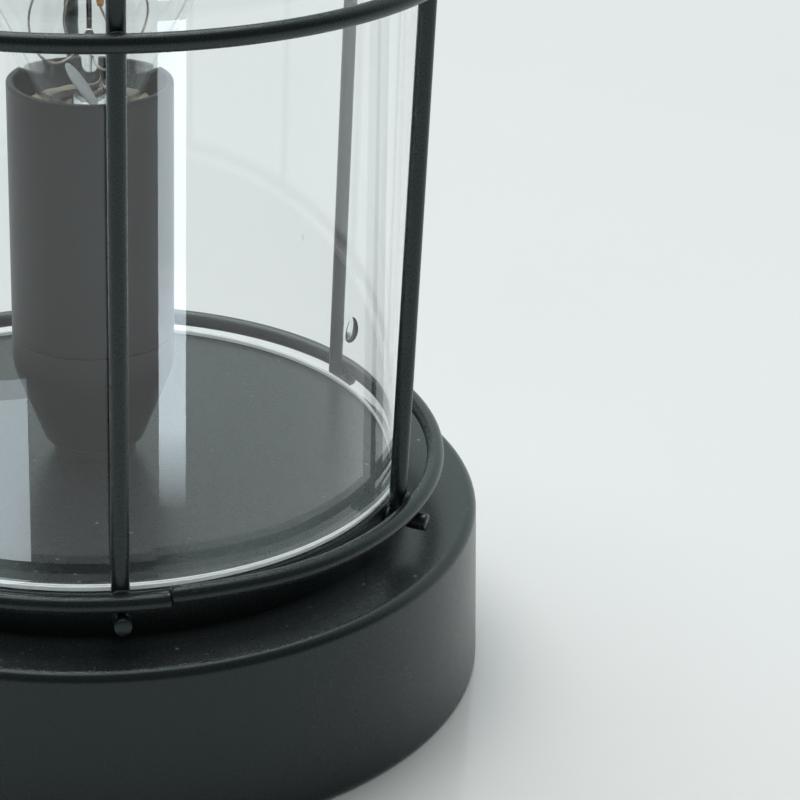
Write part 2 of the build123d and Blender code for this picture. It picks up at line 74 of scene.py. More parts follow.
PRESS_BELOW, PRESS_REACH, PRESS_PINCH = 2.0, 5.0, 0.42
FILAMENT_COUNT, FILAMENT_TURN, FILAMENT_R = 4, radians(11.0), 0.8
FILAMENT_FOOT, FILAMENT_HEAD = (8.9, 121.9), (5.0, 145.4)
SUPPORT_R = 0.22
AXIS_R = 0.02
POST_CIRCLE, BALLAST_CIRCLE = 59.65, 34.0
SCREW_TOP, SCREW_HEAD_R, SCREW_HEAD_H, SCREW_R, SCREW_LENGTH = 2.0, 3.6, 1.3, 2.0, 9.0
RECESS_LENGTH, RECESS_WIDTH, RECESS_DEPTH = 3.6, 0.8, 1.4
FOOT_CIRCLE, FOOT_R, FOOT_H = 44.0, 6.0, 2.0


def linear(code, alpha=1.0):
    """Linear colour of an sRGB hex code."""
    parts = [int(code[i:i + 2], 16) / 255 for i in (1, 3, 5)]
    return (*[c / 12.92 if c <= 0.04045 else ((c + 0.055) / 1.055) ** 2.4 for c in parts], alpha)


def add(tree, kind, inputs=None, **settings):
    """Adds a node, makes its settings, and sets or links its inputs."""
    made = tree.nodes.new(kind)
    for name, value in settings.items():
        setattr(made, name, value)
    for key, value in (inputs or {}).items():
        if isinstance(value, bpy.types.NodeSocket):
            tree.links.new(value, made.inputs[key])
        else:
            made.inputs[key].default_value = value
    return made


def per(size):
    """Texture scale that gives features of this size in millimetres."""
    return 1 / (size * MM)


def blank(name):
    """A new material, its tree, and its object coordinates."""
    material = bpy.data.materials.new(name)
    material.use_nodes = True
    tree = material.node_tree
    tree.nodes.clear()
    return material, tree, add(tree, "ShaderNodeTexCoord").outputs["Object"]


def close(tree, inputs):
    """Ends a material in a Principled shader with these inputs."""
    shader = add(tree, "ShaderNodeBsdfPrincipled", inputs)
    add(tree, "ShaderNodeOutputMaterial", {"Surface": shader.outputs["BSDF"]})


def grained(name, low, high, grain, rough, relief, stretch=(1, 1, 1), **shader):
    """A finish whose tone, gloss and relief follow one grain.

    Takes its two colours, the grain in mm, the range of roughness and the relief in mm."""
    material, tree, place = blank(name)
    lain = add(tree, "ShaderNodeMapping", {"Vector": place, "Scale": stretch}).outputs["Vector"]
    fine = add(tree, "ShaderNodeTexNoise", {"Vector": lain, "Scale": per(grain), "Detail": 4.0}).outputs["Fac"]
    broad = add(tree, "ShaderNodeTexNoise", {"Vector": lain, "Scale": per(grain * 14), "Detail": 3.0})
    both = add(tree, "ShaderNodeMath", {0: fine, 1: broad.outputs["Fac"]}, operation="MULTIPLY").outputs[0]
    tone = add(
        tree, "ShaderNodeMapRange",
        {"Value": both, "From Min": 0.1, "From Max": 0.42},
    ).outputs["Result"]
    colour = add(tree, "ShaderNodeMix", {0: tone, 6: linear(low), 7: linear(high)}, data_type="RGBA")
    gloss = add(
        tree, "ShaderNodeMapRange",
        {"Value": fine, "From Min": 0.3, "From Max": 0.7, "To Min": rough[0], "To Max": rough[1]},
    )
    bump = add(tree, "ShaderNodeBump", {"Height": fine, "Strength": 0.5, "Distance": relief * MM})
    close(tree, {
        "Base Color": colour.outputs[2],
        "Roughness": gloss.outputs["Result"],
        "Normal": bump.outputs["Normal"],
        **shader,
    })
    return material


def powder_coat():
    """Satin black powder coat, baked on steel: a fine orange peel, and some dust lying on what faces up.

    The grit of the powder is drawn coarser than it is, so that it shows."""
    material, tree, place = blank("satin_black_powder_coat")
    peel = add(tree, "ShaderNodeTexNoise", {"Vector": place, "Scale": per(0.9), "Detail": 2.0}).outputs["Fac"]
    grit = add(tree, "ShaderNodeTexNoise", {"Vector": place, "Scale": per(0.28), "Detail": 1.0}).outputs["Fac"]
    cloud = add(tree, "ShaderNodeTexNoise", {"Vector": place, "Scale": per(26.0), "Detail": 4.0}).outputs["Fac"]
    tone = add(tree, "ShaderNodeMix", {0: cloud, 6: linear("#1d2020"), 7: linear("#232727")}, data_type="RGBA")
    cells = add(tree, "ShaderNodeTexVoronoi", {"Vector": place, "Scale": per(3.0), "Randomness": 1.0})
    speck = add(
        tree, "ShaderNodeMapRange",
        {"Value": cells.outputs["Distance"], "From Min": 0.06, "From Max": 0.12, "To Min": 1.0, "To Max": 0.0},
    ).outputs["Result"]
    chance = add(tree, "ShaderNodeSeparateColor", {"Color": cells.outputs["Color"]}).outputs["Red"]
    some = add(tree, "ShaderNodeMapRange", {"Value": chance, "From Min": 0.15}).outputs["Result"]
    drift = add(tree, "ShaderNodeMapRange", {"Value": cloud, "From Min": 0.38, "From Max": 0.52}).outputs["Result"]
    facing = add(tree, "ShaderNodeNewGeometry").outputs["Normal"]
    up = add(tree, "ShaderNodeSeparateXYZ", {"Vector": facing}).outputs["Z"]
    lying = add(tree, "ShaderNodeMapRange", {"Value": up, "From Min": 0.5, "From Max": 0.95}).outputs["Result"]
    dust = add(tree, "ShaderNodeMath", {0: speck, 1: some}, operation="MULTIPLY").outputs[0]
    dust = add(tree, "ShaderNodeMath", {0: dust, 1: lying}, operation="MULTIPLY").outputs[0]
    dust = add(tree, "ShaderNodeMath", {0: dust, 1: drift}, operation="MULTIPLY").outputs[0]
    colour = add(tree, "ShaderNodeMix", {0: dust, 6: tone.outputs[2], 7: linear("#9ba1a2")}, data_type="RGBA")
    gloss = add(
        tree, "ShaderNodeMapRange",
        {"Value": grit, "From Min": 0.3, "From Max": 0.7, "To Min": 0.26, "To Max": 0.32},
    ).outputs["Result"]
    bump = add(tree, "ShaderNodeBump", {"Height": peel, "Strength": 0.3, "Distance": 0.006 * MM}).outputs["Normal"]
    bump = add(tree, "ShaderNodeBump", {"Height": grit, "Strength": 0.2, "Distance": 0.0015 * MM, "Normal": bump})
    close(tree, {
        "Base Color": colour.outputs[2],
        "Roughness": gloss,
        "IOR": 1.5,
        "Specular Tint": linear("#ecffff"),
        "Normal": bump.outputs["Normal"],
    })
    return material


def clear_glass(name, wave, stretch, depth, tint):
    """Clear glass: soft waves left by drawing or blowing bend what is seen through the wall.

    Takes the size of the waves in mm, how they are stretched, their depth in mm, and the colour."""
    material, tree, place = blank(name)
    lain = add(tree, "ShaderNodeMapping", {"Vector": place, "Scale": stretch}).outputs["Vector"]
    waves = add(tree, "ShaderNodeTexNoise", {"Vector": lain, "Scale": per(wave), "Detail": 1.0}).outputs["Fac"]
    bump = add(tree, "ShaderNodeBump", {"Height": waves, "Strength": 1.0, "Distance": depth * MM})
    close(tree, {
        "Base Color": linear(tint),
        "Roughness": 0.0,
        "IOR": 1.5,
        "Transmission Weight": 1.0,
        "Normal": bump.outputs["Normal"],
    })
    return material


# The finest grains, of moulds, plating and firing, are drawn coarser than they are, so that they show
FINISH = {
    "black_powder_coat": powder_coat(),
    # Moulded black phenolic: a spark-eroded mould leaves a fine even matt grain
    "black_plastic": grained(
        "matt_black_moulded_phenolic", "#0d0e0e", "#131414", 0.5, (0.39, 0.42), 0.0008, IOR=1.45
    ),
    # Soda glass drawn into a tube: waves run along the tube
    "clear_glass": clear_glass(
        "clear_drawn_soda_glass", wave=13.0, stretch=(1, 1, 0.3), depth=0.006, tint="#fdfefe"
    ),
    # Thin blown glass: a few wide swells
    "bulb_glass": clear_glass("clear_blown_bulb_glass", wave=9.0, stretch=(1, 1, 1), depth=0.004, tint="#fcfdfd"),
    # Bright nickel on pressed brass: fine drawing lines round the shell
    "nickel": grained(
        "bright_nickel_plate", "#a9a49a", "#c9c4b8", 0.25, (0.2, 0.32), 0.004, (1, 1, 6), Metallic=1.0
    ),
    # Zinc on turned steel: a grey crystalline bloom
    "zinc": grained("zinc_plated_steel", "#8f9294", "#b4b7b6", 0.4, (0.34, 0.48), 0.006, Metallic=1.0),
    # Rolled brass strip: warm, with a little tarnish
    "brass": grained("rolled_brass", "#9a7836", "#c9a457", 0.5, (0.26, 0.4), 0.005, (1, 1, 4), Metallic=1.0),
    # Sand casting: coarse skin
    "cast_iron": grained("sand_cast_grey_iron", "#2b2b2c", "#474748", 0.8, (0.6, 0.78), 0.12),
    # Moulded rubber: dull, with a dry bloom
    "rubber": grained("moulded_black_rubber", "#151515", "#232323", 0.3, (0.62, 0.78), 0.02),
    # Pressed and fired steatite: slightly warm white, sugary surface
    "ceramic": grained("fired_steatite", "#cfcabd", "#e6e2d6", 0.3, (0.42, 0.55), 0.012),
    # Black glass fused into the cap
    "black_ceramic": grained("fused_black_vitrite", "#0b0b0e", "#1b1b20", 0.6, (0.12, 0.22), 0.01),
    # Moulded polyamide
    "white_plastic": grained("moulded_white_polyamide", "#cfccc2", "#e3e1d8", 0.4, (0.42, 0.52), 0.01),
    # Cast filler with stone dust in it
    "potting": grained("beige_filled_cement", "#a89a7c", "#e4dac2", 0.45, (0.7, 0.85), 0.06),
    # Drawn PVC sleeves
    "brown_insulation": grained("brown_drawn_pvc", "#3d2415", "#56341f", 0.5, (0.32, 0.42), 0.006),
    "blue_insulation": grained("blue_drawn_pvc", "#1c3f86", "#2a55a8", 0.5, (0.32, 0.42), 0.006),
    # Silicone with yellow phosphor powder in it
    "phosphor": grained("yellow_phosphor_silicone", "#d98a2b", "#f0b256", 0.3, (0.4, 0.55), 0.02),
}


def round_corners(corners, steps=6, brace=0.12):
    """Closed outline with an arc at each corner (r, z, radius).

    A short flat beside each arc keeps the faces there flat when the mesh is smoothed."""
    outline = []
    count = len(corners)
    for i, (r, z, size) in enumerate(corners):
        here = Vector((r, z))
        before = (Vector(corners[i - 1][:2]) - here).normalized()
        after = (Vector(corners[(i + 1) % count][:2]) - here).normalized()
        if size == 0:
            outline.append(here)
            continue
        half = before.angle(after) / 2
        reach = size / tan(half)
        centre = here + (before + after).normalized() * size / sin(half)
        start, end = here + before * reach, here + after * reach
        outline.append(start + before * brace)
        for k in range(steps + 1):
            chord = start.lerp(end, k / steps) - centre
            outline.append(centre + chord.normalized() * size)
        outline.append(end + after * brace)
    return [(p.x, p.y) for p in outline]


def turned(outline, segments=160, ripple=None):
    """Mesh of a closed outline of (r, z) in mm turned round the axis; ripple moves a point's radius by angle."""
    mesh = bpy.data.meshes.new("turned")
    shape = bmesh.new()
    rows = []
    for k in range(segments):
        angle = tau * k / segments
        row = []
        for r, z in outline:
            radius = r + ripple(angle, r, z) if ripple else r
            row.append(shape.verts.new((radius * sin(angle) * MM, -radius * cos(angle) * MM, z * MM)))
        rows.append(row)
    for a, b in zip(rows, rows[1:] + rows[:1]):
        for i in range(len(outline)):
            j = (i + 1) % len(outline)
            shape.faces.new((a[i], b[i], b[j], a[j]))
    bmesh.ops.remove_doubles(shape, verts=shape.verts, dist=1e-7)
    bmesh.ops.dissolve_degenerate(shape, edges=shape.edges, dist=1e-7)
    bmesh.ops.recalc_face_normals(shape, faces=shape.faces)
    shape.to_mesh(mesh)
    shape.free()
    return mesh


def joined(meshes):
    """One mesh from several, which are removed."""
    shape = bmesh.new()
    for part in meshes:
        shape.from_mesh(part)
        bpy.data.meshes.remove(part)
    mesh = bpy.data.meshes.new("joined")
    shape.to_mesh(mesh)
    shape.free()
    return mesh


def egg(place, size, taper=0.0, inward=False, lean=None):
    """Mesh of an egg, in mm, narrower towards its top by taper; inward turns it into a hollow."""
    mesh = bpy.data.meshes.new("egg")
    shape = bmesh.new()
    bmesh.ops.create_uvsphere(shape, u_segments=20, v_segments=14, radius=1.0)
    for v in shape.verts:
        narrow = 1 - taper * (v.co.z + 1) / 2
        v.co = Vector((v.co.x * size[0] * narrow, v.co.y * size[1] * narrow, v.co.z * size[2]))
    if lean:
        bmesh.ops.transform(shape, matrix=lean, verts=shape.verts)
    bmesh.ops.translate(shape, verts=shape.verts, vec=place)
    bmesh.ops.scale(shape, verts=shape.verts, vec=(MM, MM, MM))
    bmesh.ops.recalc_face_normals(shape, faces=shape.faces)
    if inward:
        bmesh.ops.reverse_faces(shape, faces=shape.faces)
    shape.to_mesh(mesh)
    shape.free()
    return mesh


def around(angle, r, z):
    """Point at an angle from the front, in mm."""
    return Vector((r * sin(angle), -r * cos(angle), z))


def line_mesh(points, closed=False, taper=None):
    """Mesh of a path: points in mm joined by edges, with the wire's thickness at each as a share."""
    mesh = bpy.data.meshes.new("path")
    edges = [(i, i + 1) for i in range(len(points) - 1)] + ([(len(points) - 1, 0)] if closed else [])
    mesh.from_pydata([Vector(p) * MM for p in points], edges, [])
    share = mesh.attributes.new("thickness", "FLOAT", "POINT")
    share.data.foreach_set("value", taper or [1.0] * len(points))
    return mesh


def tree_with(name, sockets):
    """An empty geometry tree with these named inputs after its geometry, and the nodes at its two ends."""
    tree = bpy.data.node_groups.new(name, "GeometryNodeTree")
    tree.interface.new_socket("Geometry", in_out="INPUT", socket_type="NodeSocketGeometry")
    for label, kind in sockets.items():
        tree.interface.new_socket(label, in_out="INPUT", socket_type="NodeSocket" + kind)
    tree.interface.new_socket("Geometry", in_out="OUTPUT", socket_type="NodeSocketGeometry")
    return tree, add(tree, "NodeGroupInput").outputs


def bent_wire_tree():
    """Round wire along a path, then copies of it turned about the lamp's axis."""
    tree, given = tree_with("bent_wire", {
        "Wire radius": "Float", "Sides": "Int", "Copies": "Int", "First angle": "Float", "Step angle": "Float",
        "Finish": "Material",
    })
    path = add(tree, "GeometryNodeMeshToCurve", {"Mesh": given["Geometry"]}).outputs["Curve"]
    section = add(
        tree, "GeometryNodeCurvePrimitiveCircle",
        {"Resolution": given["Sides"], "Radius": given["Wire radius"]},
    ).outputs["Curve"]
    share = add(tree, "GeometryNodeInputNamedAttribute", {"Name": "thickness"}).outputs["Attribute"]
    wire = add(tree, "GeometryNodeCurveToMesh", {
        "Curve": path, "Profile Curve": section, "Scale": share, "Fill Caps": True,
    }).outputs["Mesh"]
    spots = add(tree, "GeometryNodePoints", {"Count": given["Copies"]}).outputs[0]
    index = add(tree, "GeometryNodeInputIndex").outputs[0]
    turn = add(
        tree, "ShaderNodeMath", {0: index, 1: given["Step angle"], 2: given["First angle"]},
        operation="MULTIPLY_ADD",
    ).outputs[0]
    spin = add(tree, "ShaderNodeCombineXYZ", {"Z": turn}).outputs[0]
    copies = add(
        tree, "GeometryNodeInstanceOnPoints", {"Points": spots, "Instance": wire, "Rotation": spin}
    ).outputs[0]
    real = add(tree, "GeometryNodeRealizeInstances", {"Geometry": copies}).outputs[0]
    painted = add(tree, "GeometryNodeSetMaterial", {"Geometry": real, "Material": given["Finish"]}).outputs[0]
    add(tree, "NodeGroupOutput", {"Geometry": painted})
    return tree


def placed_tree():
    """A small piece set at each point, facing away from the axis, with some turn and size left to chance."""
    tree, given = tree_with("placed_pieces", {
        "Piece": "Object", "Seed": "Int", "Free turn": "Float", "Size spread": "Float", "Finish": "Material",
    })
    piece = add(tree, "GeometryNodeObjectInfo", {"Object": given["Piece"]}).outputs["Geometry"]
    spot = add(tree, "ShaderNodeSeparateXYZ", {"Vector": add(tree, "GeometryNodeInputPosition").outputs[0]})
    front = add(tree, "ShaderNodeMath", {0: spot.outputs["Y"], 1: -1.0}, operation="MULTIPLY").outputs[0]
    facing = add(tree, "ShaderNodeMath", {0: spot.outputs["X"], 1: front}, operation="ARCTAN2").outputs[0]
    chance = add(tree, "FunctionNodeRandomValue", {2: -1.0, 3: 1.0, "Seed": given["Seed"]}).outputs[1]
    turn = add(
        tree, "ShaderNodeMath", {0: chance, 1: given["Free turn"], 2: facing}, operation="MULTIPLY_ADD"
    ).outputs[0]
    spin = add(tree, "ShaderNodeCombineXYZ", {"Z": turn}).outputs[0]
    size = add(
        tree, "ShaderNodeMath", {0: chance, 1: given["Size spread"], 2: 1.0}, operation="MULTIPLY_ADD"
    ).outputs[0]
    copies = add(tree, "GeometryNodeInstanceOnPoints", {
        "Points": given["Geometry"], "Instance": piece, "Rotation": spin, "Scale": size,
    }).outputs[0]
    real = add(tree, "GeometryNodeRealizeInstances", {"Geometry": copies}).outputs[0]
    painted = add(tree, "GeometryNodeSetMaterial", {"Geometry": real, "Material": given["Finish"]}).outputs[0]
    add(tree, "NodeGroupOutput", {"Geometry": painted})
    return tree


BENT_WIRE, PLACED = bent_wire_tree(), placed_tree()


def grown(tree, base, inputs):
    """Plain mesh that a geometry tree makes from a base mesh and its named inputs."""
    holder = bpy.data.objects.new("base", base)
    bpy.context.scene.collection.objects.link(holder)
    made = holder.modifiers.new("tree", "NODES")
    made.node_group = tree
    for item in tree.interface.items_tree:
        if item.in_out == "INPUT" and item.name in inputs:
            made[item.identifier] = inputs[item.name]
    depsgraph = bpy.context.evaluated_depsgraph_get()
    mesh = bpy.data.meshes.new_from_object(holder.evaluated_get(depsgraph))
    holder.modifiers.remove(made)
    bpy.data.objects.remove(holder)
    bpy.data.meshes.remove(base)
    return mesh


def wires(points, radius, slot, sides=20, copies=1, first=0.0, closed=False, taper=None):
    """Mesh of copies of one bent wire about the axis."""
    return grown(BENT_WIRE, line_mesh(points, closed, taper), {
        "Wire radius": radius * MM, "Sides": sides, "Copies": copies, "First angle": first,
        "Step angle": tau / copies, "Finish": FINISH[slot],
    })


def placed(mesh, places, slot, seed=1, free_turn=0.0, spread=0.0):
    """Mesh of a small piece set at each of these places, in mm."""
    model = bpy.data.objects.new("model", mesh)
    bpy.context.scene.collection.objects.link(model)
    result = grown(PLACED, line_mesh(places), {
        "Piece": model, "Seed": seed, "Free turn": free_turn, "Size spread": spread, "Finish": FINISH[slot],
    })
    bpy.data.objects.remove(model)
    bpy.data.meshes.remove(mesh)
    return result


def cut(mesh, shape):
    """The mesh with this shape cut away."""
    body = bpy.data.objects.new("body", mesh)
    tool = bpy.data.objects.new("tool", bpy.data.meshes.new("tool"))
    shape.to_mesh(tool.data)
    shape.free()
    for o in (body, tool):
        bpy.context.scene.collection.objects.link(o)
    made = body.modifiers.new("cut", "BOOLEAN")
    made.operation, made.object, made.solver, made.use_self = "DIFFERENCE", tool, "EXACT", True
    depsgraph = bpy.context.evaluated_depsgraph_get()
    result = bpy.data.meshes.new_from_object(body.evaluated_get(depsgraph))
    for o, m in ((body, mesh), (tool, tool.data)):
        bpy.data.objects.remove(o)
        bpy.data.meshes.remove(m)
    return result


def piece(name, mesh, slot, body, *nodes, sharp=50, finish=None):
    """A finished piece: smooth but for sharp edges, in its finish, riding on its body in place of these nodes."""
    mesh.name = name
    mesh.shade_smooth()
    mesh.set_sharp_from_angle(angle=radians(sharp))
    mesh.materials.clear()
    mesh.materials.append(finish or FINISH[slot])
    made = bpy.data.objects.new(name, mesh)
    bpy.context.scene.collection.objects.link(made)
    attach(made, body)
    if nodes:
        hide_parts(*nodes)
    return made


for part in frame["record"]["subparts"]:
    frame["nodes"][part["node"]].material_slots[0].material = FINISH[part["material_slot"]]


# Base drum: ledge and platform with soft edges, and the hole for the grommet at the back
roof_z, under_ledge = PLATFORM_Z - PLATFORM_DEPTH, LEDGE_Z - BASE_WALL
drum = turned(round_corners([
    (BASE_R, BASE_BOTTOM, BASE_EDGE), (LEDGE_R, LEDGE_Z, LEDGE_ROUND), (PLATFORM_R, LEDGE_Z, 0),
    (PLATFORM_R, PLATFORM_Z, PLATFORM_ROUND), (TUBE_HOLE_R, PLATFORM_Z, 0), (TUBE_HOLE_R, roof_z, 0),
    (PLATFORM_R - BASE_WALL, roof_z, 0), (PLATFORM_R - BASE_WALL, under_ledge, 0),
    (LEDGE_R - BASE_WALL, under_ledge, 0), (BASE_R - BASE_WALL, BASE_BOTTOM, BASE_EDGE),
], steps=8), segments=288)
hole = bmesh.new()
across = Matrix.Translation((0, BASE_R * MM, INLET_Z * MM)) @ Matrix.Rotation(pi / 2, 4, "X")
bmesh.ops.create_cone(
    hole, cap_ends=True, segments=64, radius1=INLET_R * MM, radius2=INLET_R * MM, depth=INLET_DEPTH * MM,
    matrix=across,
)
piece("base_drum", cut(drum, hole), "black_powder_coat", "lamp_body", "base_shell", sharp=35)


# Wire cage. A wire starts at its cut stub, bends up round the lowest ring and leans out to the top
def wire_axis_r(z):
    """Distance of a wire's axis from the lamp's axis."""
    return PLATFORM_R + WIRE_R + WELD_GAP + (z - STUB_Z) * tan(WIRE_LEAN)


def ring_r(z):
    """Radius of a ring that lies against the outside of the wires."""
    return wire_axis_r(z) + BEND_R / cos(WIRE_LEAN)


# A cut end is a little thinner: distance from the end in mm, and the share of the full thickness there
BURR = ((0.0, 0.84), (0.1, 0.95), (0.3, 1.0))
bend_z, bend_r = RING_Z["lower"], ring_r(RING_Z["lower"])
stub_r = wire_axis_r(STUB_Z) + STUB_LENGTH
wire_top = RING_Z["top"] + WIRE_R
path = [(stub_r - inset, STUB_Z) for inset, _ in BURR]
for k in range(BEND_STEPS + 1):
    turn = -pi / 2 - (pi / 2 - WIRE_LEAN) * k / BEND_STEPS
    path.append((bend_r + BEND_R * cos(turn), bend_z + BEND_R * sin(turn)))
for k in range(1, WIRE_STEPS + 1):
    z = bend_z + (wire_top - 0.5 - bend_z) * k / WIRE_STEPS
    path.append((wire_axis_r(z), z))
path += [(wire_axis_r(wire_top - inset), wire_top - inset) for inset, _ in reversed(BURR)]
thickness = [s for _, s in BURR] + [1.0] * (len(path) - 2 * len(BURR)) + [s for _, s in reversed(BURR)]
uprights = wires(
    [around(0, r, z) for r, z in path], WIRE_R, "black_powder_coat",
    sides=WIRE_SIDES, copies=WIRE_COUNT, first=WIRE_FIRST, taper=thickness,
)
wire_nodes = [f"cage_wire_{i + 1}" for i in range(WIRE_COUNT)]
piece("cage_uprights", uprights, "black_powder_coat", "lamp_body", *wire_nodes)

for level in ("middle", "top"):
    z = RING_Z[level]
    loop = [around(tau * k / HOOP_STEPS, ring_r(z), z) for k in range(HOOP_STEPS)]
    mesh = wires(loop, WIRE_R, "black_powder_coat", sides=WIRE_SIDES, closed=True)
    piece(f"cage_hoop_{level}", mesh, "black_powder_coat", "lamp_body", f"cage_ring_{level}")

# The lowest hoop was left open: its ends meet at the front with a step
gap = JOINT_WIDTH / bend_r
whole = tau - gap
loop, thickness = [], []
marks = [d / bend_r for d, _ in BURR] + [whole * k / HOOP_STEPS for k in range(1, HOOP_STEPS)]
marks += [whole - d / bend_r for d, _ in reversed(BURR)]
for along in marks:
    left = (whole - along) / JOINT_RISE
    rise = 0.0 if left >= 1 else 1 - left * left * (3 - 2 * left)
    loop.append(around(JOINT_ANGLE - gap / 2 - along, bend_r, bend_z + JOINT_STEP * rise))
    from_end = min(along, whole - along) * bend_r
    thickness.append(next((s for d, s in BURR if from_end <= d + 1e-6), 1.0))
mesh = wires(loop, WIRE_R, "black_powder_coat", sides=WIRE_SIDES, taper=thickness)
piece("cage_hoop_lower", mesh, "black_powder_coat", "lamp_body", "cage_ring_lower")

# Weld beads under the coat: in the crook of each crossing, and between each wire's foot and the platform
angles = [WIRE_FIRST + tau * i / WIRE_COUNT for i in range(WIRE_COUNT)]
crossings = [around(a, wire_axis_r(z) + WIRE_R + WELD_GAP / 2, z) for z in RING_Z.values() for a in angles]
bead = egg((0, 0, 0), BEAD_SIZE)
beads = placed(bead, crossings, "black_powder_coat", seed=3, free_turn=0.12, spread=0.14)
feet = [around(a, PLATFORM_R + FOOT_BEAD_OUT, PLATFORM_Z - FOOT_BEAD_DOWN) for a in angles]
foot_bead = egg((0, 0, 0), FOOT_BEAD_SIZE)
foot_beads = placed(foot_bead, feet, "black_powder_coat", seed=5, free_turn=0.1, spread=0.1)
piece("cage_weld_beads", joined([beads, foot_beads]), "black_powder_coat", "lamp_body")

# Glass cylinder: fire-polished rims, and the few gas seeds that drawing stretched into drops
inner_r = GLASS_R - GLASS_WALL
tube = turned(round_corners([
    (GLASS_R, GLASS_BOTTOM + SEAT_PLAY, GLASS_ROUND), (GLASS_R, GLASS_TOP, GLASS_ROUND),
    (inner_r, GLASS_TOP, GLASS_ROUND), (inner_r, GLASS_BOTTOM + SEAT_PLAY, GLASS_ROUND),
], steps=8), segments=288)
# Each seed: angle from the front in degrees, height, half width and half height in mm, and taper
SEED_FLATNESS = 0.28
seeds = [
    (49.3, 75.0, 2.1, 2.2, 0.35), (131.0, 64.0, 0.16, 0.7, 0.3), (-48.0, 171.0, 0.2, 1.0, 0.4),
    (66.0, 149.0, 0.12, 0.5, 0.2), (-125.0, 92.0, 0.18, 0.8, 0.3),
]
hollows = []
for angle, z, half_wide, half_tall, taper in seeds:
    a = radians(angle)
    facing = Matrix.Rotation(a, 4, "Z")
    size = (half_wide, half_wide * SEED_FLATNESS, half_tall)
    hollows.append(egg(around(a, GLASS_R - GLASS_WALL / 2, z), size, taper, True, facing))
tube_piece = piece("glass_tube", joined([tube, *hollows]), "clear_glass", "glass", "glass_cylinder")
# Clear glass lets nearly all light through, where the renderer would cast a dark shadow
tube_piece.visible_shadow = False

# Cut end at the bottom: both arrises are matt from grinding; their near-white colour is a painted highlight that
# stands in for the light that runs down the wall, showing there as white lines
arris_finish_painted_highlight = grained("ground_glass_edge_painted_highlight", "#e9efee", "#fbfdfc", 0.15, (0.5, 0.7), 0.01)
low, high = GLASS_BOTTOM + SEAT_PLAY + ARRIS_LOW, GLASS_BOTTOM + SEAT_PLAY + ARRIS_HIGH
arrises = []
for r in (GLASS_R - ARRIS_INSET, inner_r + ARRIS_INSET):
    band = [
        (r + ARRIS_HALF, low, ARRIS_FOOT_ROUND), (r + ARRIS_HALF, high, ARRIS_TOP_ROUND),
        (r - ARRIS_HALF, high, ARRIS_TOP_ROUND), (r - ARRIS_HALF, low, ARRIS_FOOT_ROUND),
    ]
    arrises.append(turned(round_corners(band, steps=4, brace=0.02), segments=288))
piece("glass_ground_edge", joined(arrises), "clear_glass", "glass", finish=arris_finish_painted_highlight)


# Lampholder: bowl and sleeve, each with the small moulded round that draws the seam
bowl = [
    (HOLDER_R, HOLDER_SEAM, SEAM_ROUND), (HOLDER_R, CAP_BEND_Z, CAP_BEND_ROUND), (CAP_END_R, CAP_END_Z, 0.4),
    (CAP_FOOT_R, CAP_END_Z, 0), (CAP_FOOT_R, HOLDER_BOTTOM, 0.2),
    (CAP_BORE_R, HOLDER_BOTTOM, 0), (CAP_BORE_R, CAP_FLOOR_Z, 0), (CAP_FLOOR_R, CAP_FLOOR_Z, 0),
    (CAP_INNER_R, CAP_BEND_Z, 0), (CAP_INNER_R, HOLDER_SEAM, 0),
]
piece("holder_bowl", turned(round_corners(bowl, steps=10)), "black_plastic", "lamp_body", "holder_cap")
sleeve = [
    (HOLDER_R, HOLDER_SEAM, SEAM_ROUND), (HOLDER_R, HOLDER_RIM, 0.4), (RIM_INNER_R, HOLDER_RIM, 0.3),
    (SLEEVE_INNER_R, HOLDER_RIM - RIM_CHAMFER, 0), (SLEEVE_INNER_R, SHELF_Z, 0), (SHELF_R, SHELF_Z, 0.2),
    (SHELF_R, SPIGOT_Z, 0), (SPIGOT_R, SPIGOT_Z, 0.2), (SPIGOT_R, HOLDER_SEAM, 0),
]
piece("holder_barrel", turned(round_corners(sleeve, steps=5)), "black_plastic", "lamp_body", "holder_sleeve")


# Rolled thread: the lamp cap's, and the smooth shell that takes it
def rolled(low, high, base):
    """Ripple of a right-hand rolled thread between two heights, on the wall at this radius."""
    def ripple(angle, r, z):
        if abs(r - base) > THREAD_BAND:
            return 0.0
        fade = max(0.0, min(1.0, (z - low) / THREAD_RUNOUT, (high - z) / THREAD_RUNOUT))
        return -THREAD_DEPTH * fade * (0.5 - 0.5 * cos(tau * z / THREAD_PITCH - angle))
    return ripple


rows = [CAP_BOTTOM + (CAP_TOP - CAP_BOTTOM) * k / CAP_ROWS for k in range(CAP_ROWS + 1)]
shell = [(CAP_R, z) for z in rows] + [(CAP_IN_R, CAP_TOP), (CAP_IN_R, CAP_BOTTOM + CAP_SHEET)]
shell += [(0.6, CAP_BOTTOM + CAP_SHEET), (0.6, CAP_BOTTOM)]
thread = rolled(CAP_BOTTOM + 0.6, CAP_TOP - 2.4, CAP_R)
piece("bulb_threaded_cap", turned(shell, segments=96, ripple=thread), "nickel", "bulb", "bulb_screw_cap")
rows = [SHELL_BOTTOM + (SHELL_TOP - SHELL_BOTTOM) * k / SHELL_ROWS for k in range(SHELL_ROWS + 1)]
shell = [(SHELL_OUT_R, z) for z in rows] + [(SHELL_IN_R, z) for z in reversed(rows[4:])]
shell += [(SHELL_IN_R, SHELL_BOTTOM + 0.3), (SHELL_HOLE_R, SHELL_BOTTOM + 0.3), (SHELL_HOLE_R, SHELL_BOTTOM)]
piece("holder_thread_shell", turned(shell, segments=96), "brass", "lamp_body", "thread_shell")


# Bulb inside: flared glass stem pressed flat round its wires, and the filaments on their supports
def pressed(angle, r, z):
    """The stem's press: pinched flat between the flare and the rod."""
    near = max(0.0, 1 - abs(z - (STEM_TOP - PRESS_BELOW)) / PRESS_REACH)
    return r * PRESS_PINCH * near * cos(2 * angle)


